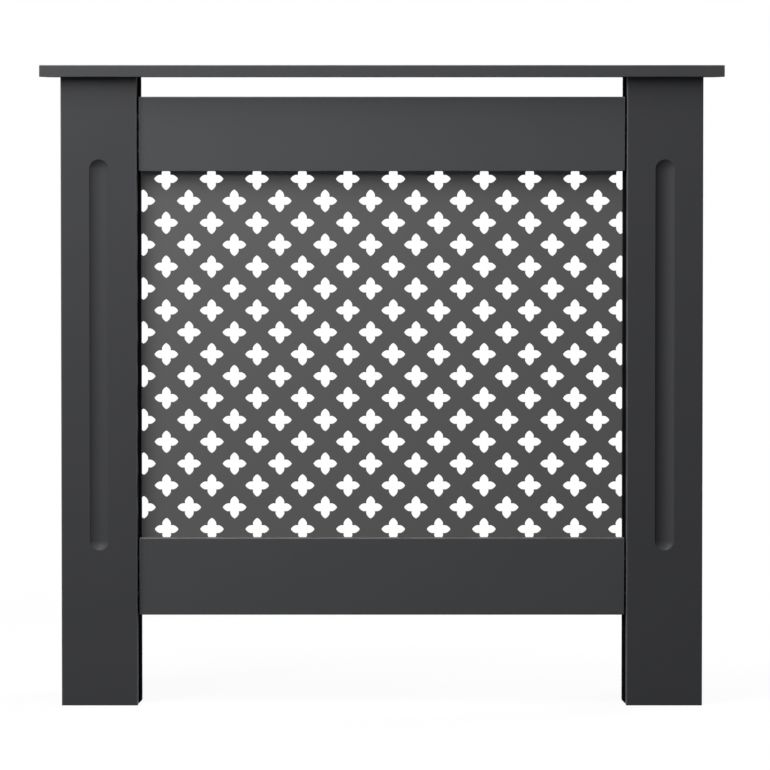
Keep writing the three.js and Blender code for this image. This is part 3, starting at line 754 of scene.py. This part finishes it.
class CABINET_OT_grille(bpy.types.Operator):
    """Makes the pierced sheet from diamond-shaped tiles, with one cross in each tile that shows"""

    bl_idname = "cabinet.grille"
    bl_label = "Pierced sheet"

    def arm(self, shape, reach, half, next_half):
        """Points of one arm that points along X, from its lower shoulder to the inner corner above it."""
        shoulder = Vector((reach - shape.cross_point, half))
        tip = Vector((reach, 0))
        chord = tip - shoulder
        outward = Vector((-chord.y, chord.x)).normalized()
        upper = []
        for step in range(shape.point_steps + 1):
            t = step / shape.point_steps
            upper.append(shoulder + chord * t + outward * shape.cross_bulge * 4 * t * (1 - t))
        lower = [Vector((point.x, -point.y)) for point in upper[:-1]]
        return lower + upper[::-1] + [Vector((next_half, half))]

    def cross(self, shape):
        """Outline of a cross about the origin, one arm after the other."""
        level = (shape.cross_width / 2, shape.cross_level_arm, shape.cross_upright_arm)
        upright = (shape.cross_height / 2, shape.cross_upright_arm, shape.cross_level_arm)
        points = []
        for quarter, sizes in enumerate((level, upright) * 2):
            turn = Matrix.Rotation(quarter * math.pi / 2, 2)
            points += [turn @ point for point in self.arm(shape, *sizes)]
        return points

    def tile(self, shape, pierced):
        """One diamond of the lattice, flat in X and Z and facing the front."""
        bm = bmesh.new()
        corners = ((0.5, 0), (0, 0.5), (-0.5, 0), (0, -0.5))
        rings = [[Vector((x * shape.pitch_x, z * shape.pitch_z)) for x, z in corners]]
        if pierced:
            rings.append(self.cross(shape))
        edges = []
        for ring in rings:
            verts = [bm.verts.new((point.x, 0, point.y)) for point in ring]
            edges += [bm.edges.new(pair) for pair in zip(verts, verts[1:] + verts[:1])]
        bmesh.ops.triangle_fill(bm, edges=edges, use_beauty=True, normal=TO_FRONT)
        mesh = bpy.data.meshes.new("tile")
        bm.to_mesh(mesh)
        bm.free()
        return mesh

    def lay_tiles(self, shape, low, high):
        """Covers the sheet's front with tiles, pierced where their cross shows between the rails."""
        open_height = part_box("upper_rail")[0].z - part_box("lower_rail")[1].z
        reach_x = high.x + shape.cross_width / 2
        reach_z = (open_height + shape.cross_height) / 2
        tiles = {pierced: self.tile(shape, pierced) for pierced in (True, False)}
        rows = math.ceil((high.z - low.z) / shape.pitch_z) + 1
        columns = math.ceil((high.x - low.x) / shape.pitch_x / 2) + 1
        bm = bmesh.new()
        for row in range(-rows, rows + 1):
            z = row * shape.pitch_z / 2
            for column in range(-columns - 1, columns + 1):
                x = shape.cross_offset + (column + row % 2 / 2) * shape.pitch_x
                before = len(bm.verts)
                bm.from_mesh(tiles[abs(x) < reach_x and abs(z) < reach_z])
                bm.verts.ensure_lookup_table()
                spot = (x, low.y, (low.z + high.z) / 2 + z)
                bmesh.ops.translate(bm, vec=spot, verts=bm.verts[before:])
        for mesh in tiles.values():
            bpy.data.meshes.remove(mesh)
        bmesh.ops.remove_doubles(bm, verts=bm.verts, dist=TOUCHING)
        return bm

    def trim(self, bm, low, high):
        """Cuts the tiles off at the sheet's four edges."""
        for corner, outward in ((low, (-1, 0, 0)), (low, -UP), (high, (1, 0, 0)), (high, UP)):
            geometry = bm.verts[:] + bm.edges[:] + bm.faces[:]
            bmesh.ops.bisect_plane(bm, geom=geometry, plane_co=corner, plane_no=outward, clear_outer=True)
        bmesh.ops.recalc_face_normals(bm, faces=bm.faces)

    def thicken(self, bm, thickness):
        """Gives the flat tiles the sheet's thickness, towards the wall."""
        grown = bmesh.ops.extrude_face_region(bm, geom=bm.faces[:])["geom"]
        back = [item for item in grown if isinstance(item, bmesh.types.BMVert)]
        bmesh.ops.translate(bm, vec=TO_WALL * thickness, verts=back)
        bmesh.ops.recalc_face_normals(bm, faces=bm.faces)

    def execute(self, context):
        shape = context.scene.cabinet_shape
        low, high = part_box("grille_panel")
        bm = self.lay_tiles(shape, low, high)
        self.trim(bm, low, high)
        self.thicken(bm, high.y - low.y)
        round_edges(bm, sharp_edges(bm, math.radians(70)), shape.sheet_arris, 1)
        finish_piece(bm, "pierced_sheet", sheet_paint(), "pierced_sheet", "grille_panel")
        return {"FINISHED"}


# ---- Fittings ----


def side_of(node):
    return "left" if "_left" in node else "right"


class CABINET_OT_cam_locks(bpy.types.Operator):
    """Makes the cam locks, each a drum with a driver recess in its face"""

    bl_idname = "cabinet.cam_locks"
    bl_label = "Cam locks"

    def cam(self, fittings, node):
        """A cam lock about Z that stands on the origin, with its slots on top."""
        depth, radius = min(size(node)), max(size(node)) / 2
        bm = drum(radius, depth)
        rim = [edge for edge in bm.edges if lies_at(edge, "z", depth)]
        round_edges(bm, rim, fittings.metal_arris, 2)
        half_width = fittings.cam_slot_width / 2
        bottom, top = depth - fittings.cam_slot_depth, depth + OVER
        long_half, short_half = radius * fittings.cam_long_slot, radius * fittings.cam_short_slot
        for x, y in ((long_half, half_width), (half_width, short_half)):
            carve(bm, block((-x, -y, bottom), (x, y, top)))
        return bm

    def execute(self, context):
        for node in nodes_called("cam_lock_"):
            face = TO_WALL if "_rail_" in node else Vector((-SIDES[side_of(node)], 0, 0))
            bm = self.cam(context.scene.cabinet_fittings, node)
            place(bm, middle(node) - face * min(size(node)) / 2, face)
            finish_piece(bm, node.replace("cam_lock", "cam_drum"), zinc_plate(), "zinc", node)
        return {"FINISHED"}


class CABINET_OT_screws(bpy.types.Operator):
    """Makes the pan-head screws of the pierced sheet and of the wall brackets"""

    bl_idname = "cabinet.screws"
    bl_label = "Screws"

    def pan_head_screw(self, fittings, whole):
        """A screw about Z whose head's top is at the origin and whose point is below."""
        head, radius, shank = fittings.head_height, fittings.head_radius, fittings.shank_radius
        # outline of one side, from the middle of the head down to the point
        profile = [
            (0, 0),
            (radius * 0.55, 0),
            (radius * 0.85, -head * 0.22),
            (radius, -head * 0.6),
            (radius, -head),
            (shank, -head),
            (shank, -whole + fittings.screw_point),
            (0, -whole),
        ]
        bm = bmesh.new()
        verts = [bm.verts.new((x, 0, z)) for x, z in profile]
        edges = [bm.edges.new(pair) for pair in zip(verts, verts[1:])]
        bmesh.ops.spin(
            bm,
            geom=verts + edges,
            cent=(0, 0, 0),
            axis=UP,
            angle=2 * math.pi,
            steps=24,
            use_merge=True,
        )
        bmesh.ops.remove_doubles(bm, verts=bm.verts, dist=TOUCHING)
        bmesh.ops.recalc_face_normals(bm, faces=bm.faces)
        reach, half_width = fittings.recess_reach, fittings.recess_width / 2
        for x, y in ((reach, half_width), (half_width, reach)):
            carve(bm, block((-x, -y, -fittings.recess_depth), (x, y, OVER)))
        return bm

    def execute(self, context):
        for node in nodes_called("grille_screw_") + nodes_called("bracket_screw_"):
            outward = TO_WALL if node.startswith("grille") else Vector((-SIDES[side_of(node)], 0, 0))
            whole = max(size(node))
            bm = self.pan_head_screw(context.scene.cabinet_fittings, whole)
            place(bm, middle(node) + outward * whole / 2, outward)
            finish_piece(bm, node.replace("screw", "pan_screw"), zinc_plate(), "zinc", node)
        return {"FINISHED"}


class CABINET_OT_wall_brackets(bpy.types.Operator):
    """Makes the bent steel brackets, with a hole for a wall screw in each"""

    bl_idname = "cabinet.wall_brackets"
    bl_label = "Wall brackets"

    def execute(self, context):
        fittings = context.scene.cabinet_fittings
        for side, sign in SIDES.items():
            node = f"{side}_wall_bracket"
            low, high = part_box(node)
            free_end, bent_end = (low.x, high.x) if sign > 0 else (high.x, low.x)
            bm = block(low, high)
            inside = block(
                (free_end - sign * OVER, low.y - OVER, low.z - OVER),
                (bent_end - sign * fittings.strip, high.y - fittings.strip, high.z + OVER),
            )
            carve(bm, inside)
            at_wall = [edge for edge in bm.edges if lies_at(edge, "y", high.y)]
            bend = [edge for edge in at_wall if lies_at(edge, "x", bent_end)]
            round_edges(bm, bend, fittings.strip_bend, 4)
            hole_x = free_end + sign * fittings.wall_hole_edge
            hole_start = (hole_x, high.y - fittings.strip - OVER, (low.z + high.z) / 2)
            hole = place(drum(fittings.wall_hole, fittings.strip + 2 * OVER, 32), hole_start, TO_WALL)
            carve(bm, hole)
            finish_piece(bm, f"{side}_steel_bracket", zinc_plate(), "zinc", node)
        return {"FINISHED"}


class CABINET_OT_hidden_fittings(bpy.types.Operator):
    """Gives the dowels and cam bolts inside the joints their materials"""

    bl_idname = "cabinet.hidden_fittings"
    bl_label = "Dowels and cam bolts"

    def execute(self, context):
        for node in nodes_called("dowel_"):
            dress(node, beech())
        for node in nodes_called("cam_bolt_"):
            dress(node, black_oxide())
        return {"FINISHED"}


# ---- Stage ----


class CABINET_OT_stage(bpy.types.Operator):
    """Sets up the camera, the lamps, the white world and the floor that keeps the shadow"""

    bl_idname = "cabinet.stage"
    bl_label = "Stage"

    def camera(self, context, stage):
        data = bpy.data.cameras.new("Camera")
        data.sensor_width = 36
        data.lens = stage.lens
        data.shift_y = stage.shift_y
        data.clip_end = 100
        camera = bpy.data.objects.new("Camera", data)
        context.scene.collection.objects.link(camera)
        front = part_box("top_shelf")[0].y
        camera.location = (stage.camera_side, front - stage.distance, stage.camera_height)
        camera.rotation_euler = Euler((math.pi / 2 - stage.tilt, 0, 0))
        context.scene.camera = camera

    def lamp(self, context, name, stands_at, points_at, width, height, watts):
        """A rectangular lamp that no camera sees."""
        data = bpy.data.lights.new(name, "AREA")
        data.shape = "RECTANGLE"
        data.size, data.size_y = width, height
        data.energy = watts
        lamp = bpy.data.objects.new(name, data)
        context.scene.collection.objects.link(lamp)
        lamp.location = stands_at
        aim = Vector(points_at) - Vector(stands_at)
        lamp.rotation_euler = aim.to_track_quat("-Z", "Y").to_euler()
        lamp.visible_camera = False

    def seen(self, tree):
        """1 for rays that show the background: straight, in a reflection or through something clear."""
        rays = add_node(tree, "ShaderNodeLightPath", (-1000, 100)).outputs
        indirect = arithmetic(
            tree, "MAXIMUM", rays["Is Glossy Ray"], rays["Is Transmission Ray"], (-800, 50)
        )
        return arithmetic(tree, "MAXIMUM", rays["Is Camera Ray"], indirect, (-600, 100))

    def surroundings(self, tree, seen, stage, at):
        """White where the background is seen, and the sky's level for the light that it gives."""
        return arithmetic(tree, "MULTIPLY_ADD", seen, 1 - stage.sky_level, at, stage.sky_level)

    def world(self, context, stage):
        world = bpy.data.worlds.new("White surroundings")
        world.use_nodes = True
        context.scene.world = world
        tree = world.node_tree
        background = tree.nodes["Background"]
        background.inputs["Color"].default_value = (1, 1, 1, 1)
        level = self.surroundings(tree, self.seen(tree), stage, (-300, 0))
        tree.links.new(level, background.inputs["Strength"])

    def floor(self, context, stage):
        bm = bmesh.new()
        bmesh.ops.create_circle(bm, cap_ends=True, segments=stage.floor_corners, radius=stage.floor_radius)
        bmesh.ops.translate(bm, vec=-UP * stage.floor_drop, verts=bm.verts)
        mesh = bpy.data.meshes.new("floor")
        bm.to_mesh(mesh)
        bm.free()
        floor = bpy.data.objects.new("floor", mesh)
        context.scene.collection.objects.link(floor)
        mesh.materials.append(self.floor_material(stage))

    def floor_material(self, stage):
        """Near the cabinet the floor takes its shadow, and farther off it is plain white."""
        material, tree, shader = new_material("Pale floor")
        tree.nodes.remove(shader)
        diffuse = add_node(tree, "ShaderNodeBsdfDiffuse", (-200, 200))
        diffuse.inputs["Color"].default_value = (*[stage.floor_tone] * 3, 1)
        seen = self.seen(tree)
        lift = add_node(tree, "ShaderNodeEmission", (-200, 50))
        lift_level = arithmetic(tree, "MULTIPLY", seen, stage.floor_lift, (-450, 50))
        tree.links.new(lift_level, lift.inputs["Strength"])
        near = add_node(tree, "ShaderNodeAddShader", (0, 100))
        tree.links.new(diffuse.outputs["BSDF"], near.inputs[0])
        tree.links.new(lift.outputs["Emission"], near.inputs[1])

        far = add_node(tree, "ShaderNodeEmission", (0, -150))
        far_level = self.surroundings(tree, seen, stage, (-450, -150))
        tree.links.new(far_level, far.inputs["Strength"])

        reach = add_node(tree, "ShaderNodeVectorMath", (-700, -400), operation="LENGTH")
        tree.links.new(place_on_piece(tree, (-900, -400)), reach.inputs[0])
        fade_range = (stage.fade_start, stage.fade_end)
        fade = ramp(tree, reach.outputs["Value"], fade_range, (0, 1), (-450, -400))
        mix = add_node(tree, "ShaderNodeMixShader", (150, 0))
        tree.links.new(fade, mix.inputs["Fac"])
        tree.links.new(near.outputs["Shader"], mix.inputs[1])
        tree.links.new(far.outputs["Emission"], mix.inputs[2])
        tree.links.new(mix.outputs["Shader"], tree.nodes["Material Output"].inputs["Surface"])
        return material

    def execute(self, context):
        stage = context.scene.cabinet_stage
        context.scene.view_settings.view_transform = "Standard"
        self.camera(context, stage)
        self.world(context, stage)
        self.floor(context, stage)
        lit = stage.lit_place
        self.lamp(
            context, "Key lamp", stage.key_place, lit, stage.key_width, stage.key_height, stage.key_power
        )
        self.lamp(
            context, "Back lamp", stage.back_place, lit, stage.back_size, stage.back_size, stage.back_power
        )
        return {"FINISHED"}


# ---- Add-on ----


class CABINET_PT_panel(bpy.types.Panel):
    """Lists the steps that make the cabinet"""

    bl_idname = "CABINET_PT_panel"
    bl_label = "Radiator cover"
    bl_space_type = "VIEW_3D"
    bl_region_type = "UI"
    bl_category = "Radiator cover"

    def draw(self, context):
        for operator in OPERATORS:
            self.layout.operator(operator.bl_idname)
        for group in SETTINGS:
            settings = getattr(context.scene, group)
            for name in settings.bl_rna.properties.keys():
                if name not in ("rna_type", "name"):
                    self.layout.prop(settings, name)


SETTINGS = {
    "cabinet_shape": CabinetShape,
    "cabinet_fittings": CabinetFittings,
    "cabinet_finish": CabinetFinish,
    "cabinet_stage": CabinetStage,
}
OPERATORS = (
    CABINET_OT_shelf,
    CABINET_OT_posts,
    CABINET_OT_rails,
    CABINET_OT_side_panels,
    CABINET_OT_battens,
    CABINET_OT_grille,
    CABINET_OT_cam_locks,
    CABINET_OT_screws,
    CABINET_OT_wall_brackets,
    CABINET_OT_hidden_fittings,
    CABINET_OT_stage,
)


def register():
    for group in (*SETTINGS.values(), *OPERATORS, CABINET_PT_panel):
        bpy.utils.register_class(group)
    for name, group in SETTINGS.items():
        setattr(bpy.types.Scene, name, PointerProperty(type=group))


def unregister():
    for name in SETTINGS:
        delattr(bpy.types.Scene, name)
    for group in reversed((*SETTINGS.values(), *OPERATORS, CABINET_PT_panel)):
        bpy.utils.unregister_class(group)


def main():
    register()
    bpy.ops.cabinet.shelf()
    bpy.ops.cabinet.posts()
    bpy.ops.cabinet.rails()
    bpy.ops.cabinet.side_panels()
    bpy.ops.cabinet.battens()
    bpy.ops.cabinet.grille()
    bpy.ops.cabinet.cam_locks()
    bpy.ops.cabinet.screws()
    bpy.ops.cabinet.wall_brackets()
    bpy.ops.cabinet.hidden_fittings()
    bpy.ops.cabinet.stage()


if __name__ == "__main__":
    main()
